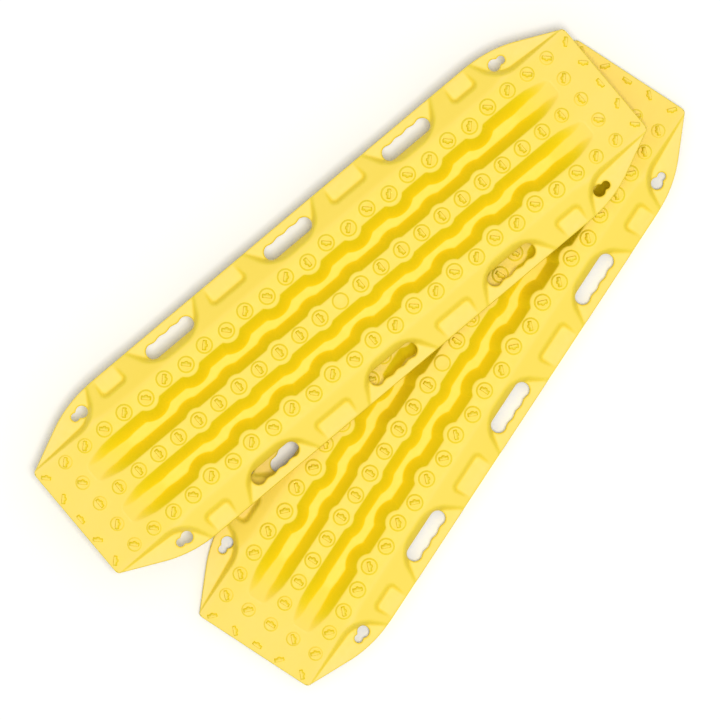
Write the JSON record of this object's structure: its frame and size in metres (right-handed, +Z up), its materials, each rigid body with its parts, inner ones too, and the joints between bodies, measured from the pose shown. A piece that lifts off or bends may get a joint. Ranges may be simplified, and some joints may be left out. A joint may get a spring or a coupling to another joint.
{
  "type": "traction board pair",
  "caption": "Pair of identical one-piece moulded traction boards with rows of gripping teeth, side hand holes and corner keyholes, the second laid askew on the first.",
  "frame": {"origin": "on the ground, under the middle of the pair's footprint", "axes": "+X along the lower board's length, +Y across it towards the side where the upper board reaches out, +Z up"},
  "size_m": [1.1626, 0.6456, 0.1253],
  "materials": {
    "lower_board_nylon": "satin moulded yellow glass-filled nylon",
    "upper_board_nylon": "satin moulded yellow glass-filled nylon"
  },
  "bodies": {
    "lower_board": {"lower_board": "lower_board_nylon"},
    "upper_board": {"upper_board": "upper_board_nylon"}
  },
  "joints": [
    {"name": "upper_board_lift", "type": "slide", "parent": "lower_board", "child": "upper_board", "axis": [0, 0, 1], "range_m": [0, 0.3]}
  ]
}
